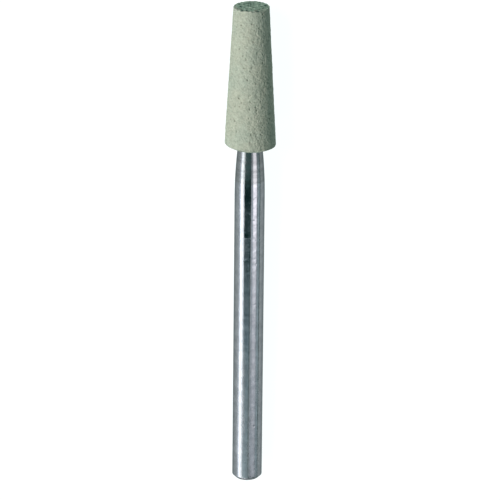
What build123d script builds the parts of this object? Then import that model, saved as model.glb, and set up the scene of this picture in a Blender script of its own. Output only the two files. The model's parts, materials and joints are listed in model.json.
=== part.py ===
from build123d import *
import os
from math import asin, atan2, degrees, hypot, sqrt

# A dental polisher for a straight handpiece: a tapered abrasive head moulded on
# the spigot of a turned steel mandrel. Both pieces are bodies of revolution about
# one axis. They are drawn upright, with the free end of the shank at height 0 and
# the tip of the head at the top, then laid down as the polisher rests on a bench.
# All sizes are millimetres.

# The whole polisher
overall_length = 39.3

# Shank, the part that the chuck grips
shank_diameter = 2.35
shank_end_chamfer = 0.25

# Neck, an arc that leaves the shank tangentially and narrows to the head
neck_length = 3.95
neck_diameter = 1.95

# Head: a truncated cone whose wide end is crowned towards the neck
head_base_diameter = 4.0
head_tip_diameter = 2.75
head_taper_length = 11.1
head_crown_height = 0.43
head_rim_radius = 0.08
head_tip_radius = 0.10

# Spigot, hidden in the head, with its keying: rings hold against pull, flutes
# against torque
spigot_diameter = 1.55
spigot_length = 8.0
spigot_end_chamfer = 0.2
ring_count = 5
ring_margin = 1.2  # from each end of the spigot to the middle of the nearest ring
ring_mouth_width = 0.55
ring_floor_width = 0.25
ring_depth = 0.16
flute_count = 8
flute_radius = 0.16
flute_depth = 0.10

# Worked out from the sizes above
shank_radius = shank_diameter / 2
neck_radius = neck_diameter / 2
base_radius = head_base_diameter / 2
tip_radius = head_tip_diameter / 2
spigot_radius = spigot_diameter / 2
rim_height = overall_length - head_taper_length  # the plane of the widest circle
rim_corner = (base_radius, rim_height)
seat_height = rim_height - head_crown_height  # where the head sits on the shoulder
neck_start_height = seat_height - neck_length
spigot_end_height = seat_height + spigot_length
first_ring_height = seat_height + ring_margin
ring_pitch = (spigot_length - 2 * ring_margin) / (ring_count - 1)


def revolved(face):
    """The solid that a face of (radius, height) makes round the polisher's axis."""
    return revolve(Plane.XZ * face, Axis.Z)


def rounded(face, corner, radius):
    """The face with one corner rounded."""
    vertex = face.vertices().sort_by_distance(Vector(*corner))[0]
    return fillet(vertex, radius)


def ring_groove(height):
    """The ring of metal that a turned groove takes out of the spigot."""
    floor_radius = spigot_radius - ring_depth
    outside_radius = spigot_radius + ring_depth
    mouth_half = ring_mouth_width / 2
    floor_half = ring_floor_width / 2
    mouth_half_outside = 2 * mouth_half - floor_half  # the flanks run on outwards
    outline = Polyline(
        (floor_radius, height - floor_half),
        (outside_radius, height - mouth_half_outside),
        (outside_radius, height + mouth_half_outside),
        (floor_radius, height + floor_half),
        close=True,
    )
    return revolved(make_face(outline))


def mandrel():
    """Turned steel in one piece: shank, neck, shoulder and keyed spigot."""
    end = (shank_radius - shank_end_chamfer, 0)
    shank_foot = (shank_radius, shank_end_chamfer)
    neck_start = (shank_radius, neck_start_height)
    shoulder_edge = (neck_radius, seat_height)
    shoulder_root = (spigot_radius, seat_height)
    spigot_corner = (spigot_radius, spigot_end_height - spigot_end_chamfer)
    spigot_end = (spigot_radius - spigot_end_chamfer, spigot_end_height)
    below_neck = Polyline((0, 0), end, shank_foot, neck_start)
    neck = TangentArc(neck_start, shoulder_edge, tangent=(0, 1))
    above_neck = Polyline(
        shoulder_edge,
        shoulder_root,
        spigot_corner,
        spigot_end,
        (0, spigot_end_height),
        (0, 0),
    )
    body = revolved(make_face(below_neck + neck + above_neck))

    for number in range(ring_count):
        body -= ring_groove(first_ring_height + number * ring_pitch)

    # The flutes run out of the spigot's end and stop at the first ring.
    flute_length = spigot_end_height - first_ring_height
    flute_centre = spigot_radius - flute_depth + flute_radius
    flute = Cylinder(
        flute_radius, flute_length, align=(Align.CENTER, Align.CENTER, Align.MIN)
    )
    for place in PolarLocations(flute_centre, flute_count):
        body -= Pos(0, 0, first_ring_height) * place * flute
    return body


def crown_radius():
    """Radius of the sphere through the seat's edge and the rim, centred on the axis."""
    rise = head_crown_height
    centre = (base_radius**2 - neck_radius**2 + rise**2) / (2 * rise)
    return sqrt(neck_radius**2 + centre**2)


def head_outline():
    """Half the section of the head, with no spigot in it, as a face of (radius, height)."""
    seat_edge = (neck_radius, seat_height)
    tip_edge = (tip_radius, overall_length)
    crown = RadiusArc(seat_edge, rim_corner, -crown_radius())
    sides = Polyline(
        rim_corner, tip_edge, (0, overall_length), (0, seat_height), seat_edge
    )
    outline = rounded(make_face(crown + sides), rim_corner, head_rim_radius)
    return rounded(outline, tip_edge, head_tip_radius)


def head(steel):
    """The abrasive head, moulded round the spigot, so its cavity is the spigot."""
    return revolved(head_outline()) - steel


def resting_tilt():
    """Angle of the axis to the bench, in degrees, with the head's end higher.

    The bench touches the shank where its end chamfer starts, and the rounded rim.
    """
    rounds = head_outline().edges().filter_by(GeomType.CIRCLE)
    rim_round = rounds.sort_by_distance(Vector(*rim_corner))[0]
    across = rim_round.arc_center.X - shank_radius
    along = rim_round.arc_center.Y - shank_end_chamfer
    return degrees(atan2(across, along) + asin(head_rim_radius / hypot(across, along)))


def laid_down(solids):
    """The pieces turned on their side, tip towards +Y, resting on the plane Z = 0,
    with the origin under the middle of the polisher."""
    turned = [Rotation(resting_tilt() - 90, 0, 0) * solid for solid in solids]
    box = Compound(turned).bounding_box()
    down = Pos(0, -(box.min.Y + box.max.Y) / 2, -box.min.Z)
    return [down * solid for solid in turned]


steel = mandrel()
names = ["mandrel", "polishing_head"]
pieces = laid_down([steel, head(steel)])

os.makedirs("parts", exist_ok=True)
for name, piece in zip(names, pieces):
    piece.label = name
    export_step(piece, f"parts/{name}.step")
    print(f"{name}: {piece.volume:.2f} mm3")
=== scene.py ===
import json
import math

import bpy
from mathutils import Euler, Matrix, Vector


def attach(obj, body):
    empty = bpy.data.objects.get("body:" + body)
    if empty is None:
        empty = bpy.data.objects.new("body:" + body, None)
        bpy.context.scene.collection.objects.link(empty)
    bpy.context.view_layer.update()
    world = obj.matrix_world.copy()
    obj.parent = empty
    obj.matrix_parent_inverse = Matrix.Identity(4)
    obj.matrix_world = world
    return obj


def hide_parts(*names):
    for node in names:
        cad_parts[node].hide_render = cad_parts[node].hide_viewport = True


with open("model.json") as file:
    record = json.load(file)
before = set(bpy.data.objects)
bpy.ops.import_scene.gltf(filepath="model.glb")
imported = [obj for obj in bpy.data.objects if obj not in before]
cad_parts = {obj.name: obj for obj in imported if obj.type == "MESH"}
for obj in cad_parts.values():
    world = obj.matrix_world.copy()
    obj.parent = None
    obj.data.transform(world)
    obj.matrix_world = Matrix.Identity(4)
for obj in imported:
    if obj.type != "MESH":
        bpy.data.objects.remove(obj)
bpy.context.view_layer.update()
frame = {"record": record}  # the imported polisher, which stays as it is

# A dental polisher: a bonded abrasive head moulded on the spigot of a turned steel
# mandrel. It lies on its side on a pale floor and the camera looks down on it.
# Pieces are drawn upright in millimetres, with the shank's end at height 0 and the
# tip at the top, and layDown then puts them where the frame has them, in metres.

mm = 0.001
shankMount = next(m for m in frame["record"]["mounts"] if m["name"] == "shank")
tipward = -Vector(shankMount["axis"])  # the polisher's own axis, from shank to tip


# Tools for every piece

mergeDistance = 0.0005  # points closer than this, in mm, are one point


def activate(piece):
    bpy.ops.object.select_all(action="DESELECT")
    piece.select_set(True)
    bpy.context.view_layer.objects.active = piece


def applyModifier(piece, kind, name, **settings):
    activate(piece)
    modifier = piece.modifiers.new(name, kind)
    for setting, value in settings.items():
        setattr(modifier, setting, value)
    bpy.ops.object.modifier_apply(modifier=modifier.name)


def roundedCorner(before, corner, after, radius, steps):
    # the points of the arc that rounds a corner of a half section
    before, corner, after = Vector(before), Vector(corner), Vector(after)
    toBefore, toAfter = (before - corner).normalized(), (after - corner).normalized()
    half = toBefore.angle(toAfter) / 2
    centre = corner + (toBefore + toAfter).normalized() * radius / math.sin(half)
    first = (corner + toBefore * radius / math.tan(half) - centre).normalized()
    last = (corner + toAfter * radius / math.tan(half) - centre).normalized()
    turns = [first.slerp(last, step / steps) for step in range(steps + 1)]
    return [tuple(centre + turn * radius) for turn in turns]


def divided(points, pitch):
    # the same half section with its straight stretches cut into short ones
    result = [points[0]]
    for start, end in zip(points, points[1:]):
        stretches = max(1, round(math.dist(start, end) / pitch))
        for number in range(1, stretches + 1):
            result.append(tuple(Vector(start).lerp(Vector(end), number / stretches)))
    return result


def addSpun(name, outline, segments):
    # merges a plane to one point, draws the half section of (radius, height) from it,
    # point by point, and spins that round
    bpy.ops.object.select_all(action="DESELECT")
    bpy.ops.mesh.primitive_plane_add(size=1)
    piece = bpy.context.object
    piece.name = piece.data.name = name
    bpy.ops.object.mode_set(mode="EDIT")
    bpy.ops.mesh.select_all(action="SELECT")
    bpy.ops.mesh.merge(type="CENTER")
    radius, height = outline[0]
    bpy.ops.transform.translate(value=(radius, 0, height))
    for nextRadius, nextHeight in outline[1:]:
        step = (nextRadius - radius, 0, nextHeight - height)
        bpy.ops.mesh.extrude_region_move(TRANSFORM_OT_translate={"value": step})
        radius, height = nextRadius, nextHeight
    bpy.ops.mesh.select_all(action="SELECT")
    bpy.ops.mesh.spin(
        steps=segments, angle=2 * math.pi, center=(0, 0, 0), axis=(0, 0, 1), use_auto_merge=True
    )
    bpy.ops.mesh.select_all(action="SELECT")
    bpy.ops.mesh.remove_doubles(threshold=mergeDistance)  # closes the seam and the poles
    bpy.ops.mesh.normals_make_consistent(inside=False)
    bpy.ops.object.mode_set(mode="OBJECT")
    return piece


def cutAway(piece, cutter, name):
    # cuts a shape out of a piece and merges the points that this leaves on each other
    applyModifier(piece, "BOOLEAN", name, operation="DIFFERENCE", object=cutter, solver="EXACT")
    bpy.data.objects.remove(cutter)
    bpy.ops.object.mode_set(mode="EDIT")
    bpy.ops.mesh.select_all(action="SELECT")
    bpy.ops.mesh.remove_doubles(threshold=mergeDistance)
    bpy.ops.mesh.dissolve_degenerate(threshold=mergeDistance)
    bpy.ops.object.mode_set(mode="OBJECT")


# Mandrel: shank, neck, shoulder and keyed spigot, turned from one steel rod

mandrel = {
    "segments": 192,
    "shankRadius": shankMount["dims"]["r_mm"],
    "endChamfer": 0.25,
    "endRound": 0.03,  # tumbling takes the sharpness off the chamfer
    "roundSteps": 3,
    "shadingRing": 0.1,  # a loop here keeps the rounding out of the long face's shading
    "neckStart": 23.82,  # height where the shank starts to narrow
    "neckLength": 3.95,
    "neckRadius": 0.975,
    "neckSteps": 24,
    "neckRipple": 0.0012,  # turning leaves the neck very slightly wavy
    "ripplePitch": 0.55,
    "spigotRadius": 0.775,
    "spigotLength": 8.0,
    "spigotChamfer": 0.2,
    "ringCount": 5,
    "ringMargin": 1.2,  # from each end of the spigot to the middle of the nearest ring
    "ringMouth": 0.55,
    "ringFloor": 0.25,
    "ringDepth": 0.16,
    "fluteCount": 8,
    "fluteRadius": 0.16,
    "fluteDepth": 0.10,
    "fluteSides": 24,
}
seatHeight = mandrel["neckStart"] + mandrel["neckLength"]  # where the head sits on it
shankMiddle = mandrel["endChamfer"] + shankMount["dims"]["length_mm"] / 2
shankEnd = Vector(shankMount["pos_m"]) - tipward * shankMiddle * mm
turnDown = math.atan2(tipward.z, tipward.y) - math.radians(90)  # from upright to lying


def neckOutline():
    # an arc that leaves the shank along it, with the faint waves of the turning tool
    fall = mandrel["shankRadius"] - mandrel["neckRadius"]
    arcRadius = (mandrel["neckLength"] ** 2 + fall ** 2) / (2 * fall)
    points = []
    for step in range(1, mandrel["neckSteps"]):
        along = mandrel["neckLength"] * step / mandrel["neckSteps"]
        drop = arcRadius - math.sqrt(arcRadius ** 2 - along ** 2)
        wave = 1 - math.cos(2 * math.pi * along / mandrel["ripplePitch"])
        radius = mandrel["shankRadius"] - drop - mandrel["neckRipple"] * wave / 2
        points.append((radius, mandrel["neckStart"] + along))
    return points + [(mandrel["neckRadius"], seatHeight)]


def spigotOutline():
    # rings between plain lands, and a chamfered end
    radius = mandrel["spigotRadius"]
    end = seatHeight + mandrel["spigotLength"]
    pitch = (mandrel["spigotLength"] - 2 * mandrel["ringMargin"]) / (mandrel["ringCount"] - 1)
    mouth, floor = mandrel["ringMouth"] / 2, mandrel["ringFloor"] / 2
    points = [(radius, seatHeight)]
    for number in range(mandrel["ringCount"]):
        middle = seatHeight + mandrel["ringMargin"] + number * pitch
        points.append((radius, middle - mouth))
        points.append((radius - mandrel["ringDepth"], middle - floor))
        points.append((radius - mandrel["ringDepth"], middle + floor))
        points.append((radius, middle + mouth))
    chamfer = mandrel["spigotChamfer"]
    return points + [(radius, end - chamfer), (radius - chamfer, end), (0, end)]


def cutFlutes(piece):
    # one cutter, copied round the spigot; each flute runs out of the spigot's end
    start = seatHeight + mandrel["ringMargin"]
    length = mandrel["spigotLength"]
    place = mandrel["spigotRadius"] - mandrel["fluteDepth"] + mandrel["fluteRadius"]
    bpy.ops.object.select_all(action="DESELECT")
    bpy.ops.mesh.primitive_cylinder_add(
        vertices=mandrel["fluteSides"],
        radius=mandrel["fluteRadius"],
        depth=length,
        location=(place, 0, start + length / 2),
    )
    cutter = bpy.context.object
    bpy.ops.object.transform_apply(location=True)
    bpy.ops.object.mode_set(mode="EDIT")
    bpy.ops.mesh.select_all(action="SELECT")
    for number in range(mandrel["fluteCount"] - 1):
        bpy.ops.mesh.duplicate()
        bpy.ops.transform.rotate(
            value=2 * math.pi / mandrel["fluteCount"], orient_axis="Z", center_override=(0, 0, 0)
        )
    bpy.ops.object.mode_set(mode="OBJECT")
    cutAway(piece, cutter, "flutes")


def addMandrel():
    chamfer, shank = mandrel["endChamfer"], mandrel["shankRadius"]
    edge, foot, neckStart = (shank - chamfer, 0), (shank, chamfer), (shank, mandrel["neckStart"])
    rounding = (mandrel["endRound"], mandrel["roundSteps"])
    outline = [(0, 0)]
    outline += roundedCorner((0, 0), edge, foot, *rounding)
    outline += roundedCorner(edge, foot, neckStart, *rounding)
    outline.append((shank, chamfer + mandrel["shadingRing"]))
    outline += [neckStart] + neckOutline() + spigotOutline()
    piece = addSpun("turned_mandrel", outline, mandrel["segments"])
    cutFlutes(piece)
    return piece


mandrelPiece = addMandrel()
print("mandrel turned:", len(mandrelPiece.data.polygons), "faces")


# Head: a bonded abrasive cone, crowned at its wide end, moulded round the spigot

head = {
    "segments": 256,
    "meshPitch": 0.048,
    "crownHeight": 0.43,
    "taperLength": 11.1,
    "rimRadius": 2.005,
    "tipRadius": 1.4,
    "rimRound": 0.08,
    "tipRound": 0.05,
    "roundSteps": 5,
    "rimLean": 2.2,  # degrees that the rim is out of square
    "leanInnerRadius": 1.5,  # outside this radius the crown leans in full
    "leanAbove": 0.1,  # and so does the taper up to this far above the rim
    "leanReach": 0.6,  # the lean fades out over this distance from there
    "seatFade": 0.15,  # relief fades out to the seat over this width
    "seatBand": 0.2,  # and only this high above the seat
    "crumbReach": 0.3,  # how far from the tip's edge it has crumbled
    "cavityFrom": 0.1,  # the cavity's cutter is the spigot from this far above the seat
    "cavityRun": 1.0,  # drawn down by this much, out past the seat
    "reliefs": {
        # what presses the surface in: its pattern, size and depth, where in the pattern's
        # range it presses not at all (0) and fully (1), and on which part of the surface
        "dressing waves": ("CLOUDS", 1.3, 0.014, ((0.2, 0), (0.8, 1)), "skin"),
        "grit": ("CLOUDS", 0.13, 0.018, ((0.3, 0), (0.7, 1)), "skin"),
        "lumps": ("CLOUDS", 0.42, 0.016, ((0.3, 0), (0.7, 1)), "skin"),
        "pores": ("VORONOI", 0.46, 0.075, ((0.08, 1), (0.2, 0)), "skin"),
        "fine pores": ("VORONOI", 0.3, 0.03, ((0.08, 1), (0.25, 0)), "skin"),
        "crumbled edge": ("CLOUDS", 0.22, 0.035, ((0.45, 0), (0.7, 1)), "tipEdge"),
    },
}
rimHeight = seatHeight + head["crownHeight"]
tipHeight = rimHeight + head["taperLength"]


def headOutline():
    # from the seat round the crown, up the taper and across the tip to the axis
    seatRadius, rise = mandrel["neckRadius"], head["crownHeight"]
    toCentre = (head["rimRadius"] ** 2 - seatRadius ** 2 + rise ** 2) / (2 * rise)
    sphere = math.hypot(seatRadius, toCentre)
    first, last = math.asin(seatRadius / sphere), math.asin(head["rimRadius"] / sphere)
    steps = round(sphere * (last - first) / head["meshPitch"])
    crown = []
    for step in range(steps - 1):  # the rim's rounding takes the place of the last ones
        angle = first + (last - first) * step / steps
        height = seatHeight + toCentre - sphere * math.cos(angle)
        crown.append((sphere * math.sin(angle), height))
    rimCorner, tipCorner = (head["rimRadius"], rimHeight), (head["tipRadius"], tipHeight)
    middle = (0, tipHeight)
    rimArc = roundedCorner(crown[-1], rimCorner, tipCorner, head["rimRound"], head["roundSteps"])
    tipArc = roundedCorner(rimCorner, tipCorner, middle, head["tipRound"], head["roundSteps"])
    return [(0, seatHeight)] + crown + divided(rimArc + tipArc + [middle], head["meshPitch"])


def groupSurface(piece):
    # skin is all of it but the seat, and tipEdge fades away from the tip's edge
    skin = piece.vertex_groups.new(name="skin")
    tipEdge = piece.vertex_groups.new(name="tipEdge")
    edge = (head["tipRadius"], tipHeight)
    for point in piece.data.vertices:
        radius, height = point.co.xy.length, point.co.z
        onSkin = min(max((radius - mandrel["neckRadius"]) / head["seatFade"], 0), 1)
        if height > seatHeight + head["seatBand"]:
            onSkin = 1
        skin.add([point.index], onSkin, "REPLACE")
        nearEdge = 1 - math.dist((radius, height), edge) / head["crumbReach"]
        tipEdge.add([point.index], max(nearEdge, 0), "REPLACE")


def leanRim(piece):
    # the rim isn't quite square to the axis; the seat on the shoulder stays where it is
    activate(piece)
    bpy.ops.object.mode_set(mode="EDIT")
    bpy.ops.mesh.select_all(action="DESELECT")
    bpy.ops.object.mode_set(mode="OBJECT")
    for point in piece.data.vertices:
        outside = point.co.xy.length > head["leanInnerRadius"]
        point.select = outside and point.co.z < rimHeight + head["leanAbove"]
    bpy.ops.object.mode_set(mode="EDIT")
    bpy.ops.transform.rotate(
        value=-math.radians(head["rimLean"]), orient_axis="Y", center_override=(0, 0, rimHeight),
        use_proportional_edit=True, proportional_edit_falloff="SMOOTH",
        proportional_size=head["leanReach"],
    )
    bpy.ops.object.mode_set(mode="OBJECT")


def addRelief(piece, name, kind, size, depth, stops, where):
    texture = bpy.data.textures.new(name, kind)
    texture.noise_scale = size
    texture.use_color_ramp = True
    for element, (position, grey) in zip(texture.color_ramp.elements, stops):
        element.position = position
        element.color = [grey] * 3 + [1]
    applyModifier(
        piece, "DISPLACE", name, texture=texture, texture_coords="LOCAL",
        strength=-depth, mid_level=0.0, direction="NORMAL", vertex_group=where,
    )


def openCavity(piece):
    # the head is moulded on the spigot, so the spigot's own form is cut from it
    bpy.ops.object.select_all(action="DESELECT")
    mandrelPiece.select_set(True)
    bpy.ops.object.duplicate()
    cutter = bpy.context.selected_objects[0]
    activate(cutter)
    bpy.ops.object.mode_set(mode="EDIT")
    bpy.ops.mesh.select_all(action="SELECT")
    bpy.ops.mesh.bisect(
        plane_co=(0, 0, seatHeight + head["cavityFrom"]), plane_no=(0, 0, 1),
        use_fill=True, clear_inner=True,
    )
    bpy.ops.mesh.extrude_region_move(
        TRANSFORM_OT_translate={"value": (0, 0, -head["cavityRun"])}
    )
    bpy.ops.mesh.select_all(action="SELECT")
    bpy.ops.mesh.normals_make_consistent(inside=False)
    bpy.ops.object.mode_set(mode="OBJECT")
    cutAway(piece, cutter, "cavity")


def addHead():
    piece = addSpun("abrasive_head", headOutline(), head["segments"])
    groupSurface(piece)
    leanRim(piece)
    for name, settings in head["reliefs"].items():
        addRelief(piece, name, *settings)
    openCavity(piece)
    return piece


headPiece = addHead()
print("head moulded:", len(headPiece.data.polygons), "faces")


# Materials: small tools first, then one for each piece

eased = {"interpolation_type": "SMOOTHSTEP"}  # for a Map Range node, which then eases in and out
ofColours = {"data_type": "RGBA", "output": 2}  # for a Mix node, whose colours go in at 6 and 7


def linearColour(hexColour):
    # an sRGB hex value as the linear colour that a socket takes
    channels = [int(hexColour[i:i + 2], 16) / 255 for i in (1, 3, 5)]
    return [c / 12.92 if c <= 0.04045 else ((c + 0.055) / 1.055) ** 2.4 for c in channels] + [1]


def addNode(tree, kind, inputs=None, output=0, **settings):
    # one node with its settings, where each input that is named takes a link, a hex
    # colour or a plain value; it gives the output asked for, or the node if it has none
    node = tree.nodes.new("ShaderNode" + kind)
    for setting, value in settings.items():
        setattr(node, setting, value)
    for socket, value in (inputs or {}).items():
        if isinstance(value, bpy.types.NodeSocket):
            tree.links.new(value, node.inputs[socket])
        elif isinstance(value, str):
            node.inputs[socket].default_value = linearColour(value)
        else:
            node.inputs[socket].default_value = value
    return node.outputs[output] if node.outputs else node


def newMaterial(name):
    material = bpy.data.materials.new(name)
    material.use_nodes = True
    material.node_tree.nodes.clear()
    return material, material.node_tree


def ownPlace(tree, stretch=(1, 1, 1), centre=(0, 0, 0)):
    # millimetres in the upright polisher's frame: z runs from the shank's end to the tip
    turn = Euler((-turnDown, 0, 0))
    back = turn.to_matrix() @ shankEnd
    lying = addNode(tree, "TexCoord", output="Object")
    upright = addNode(tree, "Mapping", {"Vector": lying, "Location": -back, "Rotation": turn})
    scale = Vector(stretch) / mm
    return addNode(
        tree, "Mapping", {"Vector": upright, "Scale": scale, "Location": -Vector(centre)}
    )


# In steel and abrasive, a pattern's Scale is in clouds to the millimetre, and a range
# says which part of the pattern's 0 to 1 is used, and what it becomes if not 0 to 1

steel = {
    "colours": ("#979c9f", "#8b9093"),  # clean, and under a faint film
    "film": {"Scale": 1.8, "Detail": 5.0, "Roughness": 0.65},
    "filmRange": {"From Min": 0.35, "From Max": 0.65},
    "edgeTint": "#b4b8b8",
    "haze": {"Scale": 0.7, "Detail": 4.0},
    "hazeRoughness": {"From Min": 0.3, "From Max": 0.7, "To Min": 0.08, "To Max": 0.15},
    "neckFrom": 25.2,  # height where the turned neck meets the ground shank
    "neckBlend": 0.1,
    "neckColours": ("#8a8f90", "#7e8384"),
    "marks": {"Scale": 2.2, "Detail": 2.0},  # far finer on the real neck, coarse enough to show
    "markStretch": (0.05, 0.05, 1),  # the lathe's marks run round the neck
    "markRange": {"From Min": 0.35, "From Max": 0.65},
    "markRoughness": {"From Min": 0.35, "From Max": 0.65, "To Min": 0.03, "To Max": 0.09},
    "chuckTo": 20.75,  # height up to which a chuck has scuffed the shank
    "chuckEdge": 0.08,
    "chuckLine": 0.45,  # a quarter of this is how much rougher the line at that height is
    "scuffs": {"Scale": 1.0, "Detail": 3.0},
    "scuffStretch": (4, 4, 0.35),  # they run along the shank
    "scuffRoughness": {"From Min": 0.3, "From Max": 0.7, "To Min": 0.05, "To Max": 0.19},
    "scuffShare": {"To Min": 0.4, "To Max": 1.0},  # how much of that is at chuckTo, and at the end
    "uneven": {"Scale": 1.6, "Detail": 3.0},
    "unevenDepth": 0.007,
    "nicks": {"Scale": 2.4, "Detail": 1.0},
    "nickRange": {"From Min": 0.70, "From Max": 0.76},
    "nickDepth": 0.004,
}


def steelColour(tree, place, neck, marks):
    # the film shows on the shank, and the lathe's marks on the neck
    film = addNode(tree, "TexNoise", {"Vector": place, **steel["film"]})
    film = addNode(tree, "MapRange", {"Value": film, **steel["filmRange"]}, **eased)
    first, second = steel["colours"]
    shankColour = addNode(tree, "Mix", {"Factor": film, 6: first, 7: second}, **ofColours)
    marks = addNode(tree, "MapRange", {"Value": marks, **steel["markRange"]}, **eased)
    first, second = steel["neckColours"]
    neckColour = addNode(tree, "Mix", {"Factor": marks, 6: first, 7: second}, **ofColours)
    return addNode(tree, "Mix", {"Factor": neck, 6: shankColour, 7: neckColour}, **ofColours)


def chuckWear(tree, height):
    # the roughness of the scuffs where chucks gripped, and of the line at their mouth
    mouth, edge = steel["chuckTo"], steel["chuckEdge"]
    gripped = addNode(
        tree, "MapRange",
        {"Value": height, "From Min": mouth + edge, "From Max": mouth - edge}, **eased,
    )
    share = addNode(
        tree, "MapRange",
        {"Value": height, "From Min": mouth, "From Max": 0.0, **steel["scuffShare"]}, **eased,
    )
    share = addNode(tree, "Math", {0: gripped, 1: share}, operation="MULTIPLY")
    stretched = ownPlace(tree, steel["scuffStretch"])
    scuffs = addNode(tree, "TexNoise", {"Vector": stretched, **steel["scuffs"]})
    scuffs = addNode(tree, "MapRange", {"Value": scuffs, **steel["scuffRoughness"]}, **eased)
    scuffs = addNode(tree, "Math", {0: share, 1: scuffs}, operation="MULTIPLY")
    free = addNode(tree, "Math", {0: 1.0, 1: gripped}, operation="SUBTRACT")
    line = addNode(tree, "Math", {0: gripped, 1: free}, operation="MULTIPLY")
    line = addNode(tree, "Math", {0: line, 1: steel["chuckLine"]}, operation="MULTIPLY")
    return scuffs, line


def steelRoughness(tree, place, height, neck, marks):
    # the ground shank's haze, and what the lathe and chucks have added
    haze = addNode(tree, "TexNoise", {"Vector": place, **steel["haze"]})
    roughness = addNode(tree, "MapRange", {"Value": haze, **steel["hazeRoughness"]}, **eased)
    turned = addNode(tree, "MapRange", {"Value": marks, **steel["markRoughness"]}, **eased)
    turned = addNode(tree, "Math", {0: neck, 1: turned}, operation="MULTIPLY")
    scuffs, line = chuckWear(tree, height)
    for added in (scuffs, turned, line):
        roughness = addNode(tree, "Math", {0: roughness, 1: added}, operation="ADD")
    return roughness


def steelSurface(tree, place):
    # no turned or ground face is quite even, and handling has nicked it
    uneven = addNode(tree, "TexNoise", {"Vector": place, **steel["uneven"]})
    surface = addNode(tree, "Bump", {"Height": uneven, "Distance": steel["unevenDepth"] * mm})
    nicks = addNode(tree, "TexNoise", {"Vector": place, **steel["nicks"]})
    nicks = addNode(tree, "MapRange", {"Value": nicks, **steel["nickRange"]}, **eased)
    nickDepth = steel["nickDepth"] * mm
    return addNode(
        tree, "Bump", {"Height": nicks, "Distance": nickDepth, "Normal": surface}, invert=True
    )


def turnedSteel():
    # stainless steel: the neck is turned, so it is a little dull with faint rings, and the
    # shank is centreless ground, so it mirrors crisply, but chucks have scuffed most of it
    material, tree = newMaterial("ground_stainless_steel")
    place = ownPlace(tree)
    height = addNode(tree, "SeparateXYZ", {"Vector": place}, output="Z")
    start, blend = steel["neckFrom"], steel["neckBlend"]
    neck = addNode(
        tree, "MapRange",
        {"Value": height, "From Min": start - blend, "From Max": start + blend}, **eased,
    )
    stretched = ownPlace(tree, steel["markStretch"])
    marks = addNode(tree, "TexNoise", {"Vector": stretched, **steel["marks"]})
    shader = addNode(
        tree, "BsdfPrincipled",
        {
            "Base Color": steelColour(tree, place, neck, marks),
            "Metallic": 1.0,
            "Roughness": steelRoughness(tree, place, height, neck, marks),
            "Specular Tint": steel["edgeTint"],
            "Normal": steelSurface(tree, place),
        },
    )
    addNode(tree, "OutputMaterial", {"Surface": shader})
    return material


abrasive = {
    "shader": {"Roughness": 0.85, "IOR": 1.45, "Specular IOR Level": 0.2},
    "binders": ("#88978a", "#8b988a"),  # it isn't mixed quite evenly
    "patches": {"Scale": 0.5, "Detail": 3.0},
    "patchRange": {"From Min": 0.35, "From Max": 0.65},
    "tipShadeTint": "#7f9a8a",  # painted shade tint: the teal that the cut tip's face takes in shade, set into its binder
    "cutDepth": (0.12, 0.03),  # depths below the tip where that starts and is full
    "tintedRange": {"From Min": 1.45, "From Max": 1.32},  # radii where the painted tint is left off and where it is full
    "tintAside": 0.35,  # the middle of those circles is this far to one side
    "ragged": {"Scale": 3.5, "Detail": 2.0},
    "raggedReach": {"From Min": 0.3, "From Max": 0.7, "To Min": -0.32, "To Max": 0.32},
    "grains": {"Scale": 5.0, "Detail": 2.0},
    "grainColours": {
        # dark and pale, each with where in the pattern it starts and is full
        "#3d584e": {"From Min": 0.47, "From Max": 0.35},
        "#adc0b0": {"From Min": 0.58, "From Max": 0.72},
    },
    "grainOnSkin": 0.18,  # how strongly the skin shows its grains, where the cut tip is 1
    "lumps": {"Scale": 3.2, "Detail": 3.0, "Roughness": 0.6},
    "lumpDepth": 0.135,
}


def shadeTintShare(tree, place, cut):
    # how much of the painted shade tint the cut tip shows; it is left off round a ragged edge
    flat = ownPlace(tree, (1, 1, 0), (0, abrasive["tintAside"], 0))
    radius = addNode(tree, "VectorMath", {0: flat}, output="Value", operation="LENGTH")
    ragged = addNode(tree, "TexNoise", {"Vector": place, **abrasive["ragged"]})
    ragged = addNode(tree, "MapRange", {"Value": ragged, **abrasive["raggedReach"]}, **eased)
    radius = addNode(tree, "Math", {0: radius, 1: ragged}, operation="ADD")
    tinted = addNode(tree, "MapRange", {"Value": radius, **abrasive["tintedRange"]}, **eased)
    return addNode(tree, "Math", {0: cut, 1: tinted}, operation="MULTIPLY")


def abrasiveColour(tree, place):
    # the binder's colours, the painted shade tint on the cut tip, and the grains over them
    height = addNode(tree, "SeparateXYZ", {"Vector": place}, output="Z")
    start, full = [tipHeight - depth for depth in abrasive["cutDepth"]]
    cut = addNode(tree, "MapRange", {"Value": height, "From Min": start, "From Max": full}, **eased)
    patches = addNode(tree, "TexNoise", {"Vector": place, **abrasive["patches"]})
    patches = addNode(tree, "MapRange", {"Value": patches, **abrasive["patchRange"]}, **eased)
    first, second = abrasive["binders"]
    colour = addNode(tree, "Mix", {"Factor": patches, 6: first, 7: second}, **ofColours)
    # painted shade tint: the cut tip's face gets a teal binder that stands in for its shade
    shadeTint, tipShadeTint = shadeTintShare(tree, place, cut), abrasive["tipShadeTint"]
    colour = addNode(tree, "Mix", {"Factor": shadeTint, 6: colour, 7: tipShadeTint}, **ofColours)
    showing = addNode(tree, "MapRange", {"Value": cut, "To Min": abrasive["grainOnSkin"]}, **eased)
    pattern = addNode(tree, "TexNoise", {"Vector": place, **abrasive["grains"]})
    for grainColour, grainRange in abrasive["grainColours"].items():
        grains = addNode(tree, "MapRange", {"Value": pattern, **grainRange}, **eased)
        grains = addNode(tree, "Math", {0: showing, 1: grains}, operation="MULTIPLY")
        colour = addNode(tree, "Mix", {"Factor": grains, 6: colour, 7: grainColour}, **ofColours)
    return colour


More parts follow.
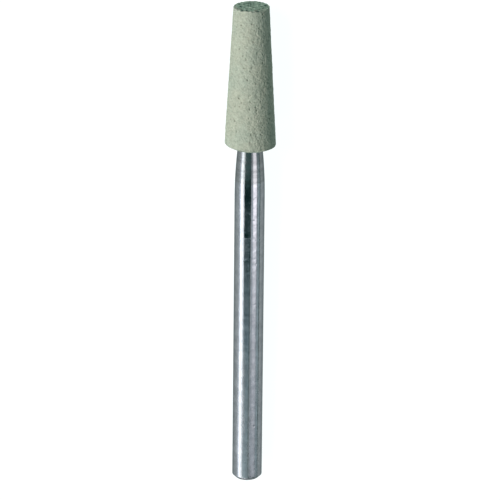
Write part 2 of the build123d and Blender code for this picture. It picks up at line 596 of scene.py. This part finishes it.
def bondedAbrasive():
    # abrasive grit in a silicone binder, moulded and dressed: matt sage green, with
    # dark and pale grains 0.1 to 0.2 mm wide, which show most where the tip was cut
    material, tree = newMaterial("bonded_abrasive")
    place = ownPlace(tree)
    colour = abrasiveColour(tree, place)
    lumps = addNode(tree, "TexNoise", {"Vector": place, **abrasive["lumps"]})
    surface = addNode(tree, "Bump", {"Height": lumps, "Distance": abrasive["lumpDepth"] * mm})
    shader = addNode(
        tree, "BsdfPrincipled", {"Base Color": colour, "Normal": surface, **abrasive["shader"]}
    )
    addNode(tree, "OutputMaterial", {"Surface": shader})
    return material


# Lay the pieces where the frame has them

creaseAngle = 35  # degrees; softer edges than this are shaded smooth


def layDown(piece):
    piece.scale = (mm, mm, mm)
    piece.rotation_euler.x = turnDown
    piece.location = shankEnd
    activate(piece)
    bpy.ops.object.transform_apply(location=True, rotation=True, scale=True)
    bpy.ops.object.shade_smooth_by_angle(angle=math.radians(creaseAngle))


for piece, material, node, slot in (
    (mandrelPiece, turnedSteel(), "mandrel", "steel"),
    (headPiece, bondedAbrasive(), "polishing_head", "abrasive"),
):
    layDown(piece)
    piece.data.materials.clear()
    piece.data.materials.append(material)
    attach(piece, "root")
    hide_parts(node)
print("pieces laid down")


# Stage: floor, softboxes and surroundings

stage = {
    "floorSize": 6.0,  # metres
    "floorShader": {
        "Base Color": "#383838",
        "Roughness": 0.9,
        "Emission Color": "#faffff",
        "Emission Strength": 1.0,
    },
    "low": "#598079",  # what the steel mirrors near the floor, and above that
    "high": "#22504e",
    "between": {"From Min": 0.02, "From Max": 0.1},  # of a look, 0 being level and 1 straight up
    "gamma": 0.8,  # under 1, which deepens the middle tones
    "softboxes": {
        # degrees from straight above to the right; the distance, width, length and place
        # along the polisher in mm; then how bright it looks, and its colour
        "key": (-56.8, 300, 175, 270, -115, 2.7, "#fffafa"),
        "keyLow": (-71.1, 450, 285, 350, -190, 1.65, "#fcf8ff"),
        "top": (-37, 400, 130, 285, 200, 25.5, "#ffe4e8"),
        "rear": (-31, 400, 230, 400, -575, 13.6, "#ffeef0"),
        "strip": (41.5, 420, 220, 150, -100, 2.2, "#ffeff1"),
        "stripWide": (37, 520, 500, 310, -180, 1.2, "#fbf8ff"),
        "stripLow": (74, 600, 205, 285, -240, 1.05, "#f2faff"),
        "card": (-11.5, 460, 475, 150, -305, 0.55, "#fbfff7"),
        "farCard": (-18, 490, 385, 210, -320, 0.7, "#e4f3ff"),
        "canopy": (-18, 520, 505, 340, 15, 0.35, "#d8fffc"),
    },
}


def litAcrylic():
    # a lit acrylic sheet, as used under small products: its own light makes it pale, with
    # weak shadows
    material, tree = newMaterial("lit_acrylic_sheet")
    shader = addNode(tree, "BsdfPrincipled", stage["floorShader"])
    addNode(tree, "OutputMaterial", {"Surface": shader})
    return material


def addSoftbox(name, angle, distance, width, length, along, radiance, colour):
    # a rectangle of even light beside or above the polisher
    tilt = math.radians(angle)
    bpy.ops.object.light_add(type="AREA")
    light = bpy.context.object
    light.name = name
    light.data.shape = "RECTANGLE"
    light.data.size = width * mm
    light.data.size_y = length * mm
    light.data.energy = radiance * math.pi * width * length * mm * mm
    light.data.color = linearColour(colour)[:3]
    back = Vector((math.sin(tilt), 0, math.cos(tilt)))
    across = Vector((math.cos(tilt), 0, -math.sin(tilt)))
    axes = Matrix((across, Vector((0, 1, 0)), back)).transposed().to_4x4()
    middle = back * distance * mm + Vector((0, along * mm, 0))
    light.matrix_world = Matrix.Translation(middle) @ axes
    light.visible_camera = False


def addSurroundings():
    world = bpy.data.worlds.new("studio")
    world.use_nodes = True
    tree = world.node_tree
    tree.nodes.clear()
    direction = addNode(tree, "TexCoord", output="Generated")
    height = addNode(tree, "SeparateXYZ", {"Vector": direction}, output="Z")
    above = addNode(tree, "MapRange", {"Value": height, **stage["between"]}, **eased)
    sky = addNode(tree, "Mix", {"Factor": above, 6: stage["low"], 7: stage["high"]}, **ofColours)
    background = addNode(tree, "Background", {"Color": sky})
    addNode(tree, "OutputWorld", {"Surface": background})
    bpy.context.scene.world = world
    bpy.context.scene.view_settings.view_transform = "Standard"
    bpy.context.scene.view_settings.gamma = stage["gamma"]


def addStage():
    bpy.ops.object.select_all(action="DESELECT")
    bpy.ops.mesh.primitive_plane_add(size=stage["floorSize"])
    floor = bpy.context.object
    floor.name = "floor"
    floor.data.materials.append(litAcrylic())
    for name, settings in stage["softboxes"].items():
        addSoftbox(name, *settings)
    addSurroundings()


addStage()
print("stage set")


# Camera: the photograph's viewing angle

cameraView = {
    "leanToTip": 21.3,  # degrees between the view and a square look at the axis
    "roll": 0.57,  # degrees that the polisher leans to the right in the picture
    "distance": 290.5,  # in mm, as are the lens and the aim
    "lens": 267.6,
    "aimAlong": 19.35,  # mid-picture is this far from the shank's end
    "aimAside": 0.068,  # and this far beside the axis
}


def addCamera():
    lean = math.radians(cameraView["leanToTip"])
    roll = math.radians(cameraView["roll"])
    sideways = Vector((1, 0, 0))
    outOfBench = sideways.cross(tipward)
    towards = outOfBench * math.cos(lean) + tipward * math.sin(lean)
    up = tipward * math.cos(lean) - outOfBench * math.sin(lean)
    right = sideways * math.cos(roll) + up * math.sin(roll)
    axes = Matrix((right, towards.cross(right), towards)).transposed().to_4x4()
    aim = shankEnd + (tipward * cameraView["aimAlong"] + sideways * cameraView["aimAside"]) * mm
    bpy.ops.object.camera_add()
    camera = bpy.context.object
    camera.data.lens = cameraView["lens"]
    camera.matrix_world = Matrix.Translation(aim + towards * cameraView["distance"] * mm) @ axes
    bpy.context.scene.camera = camera


addCamera()
print("camera placed")
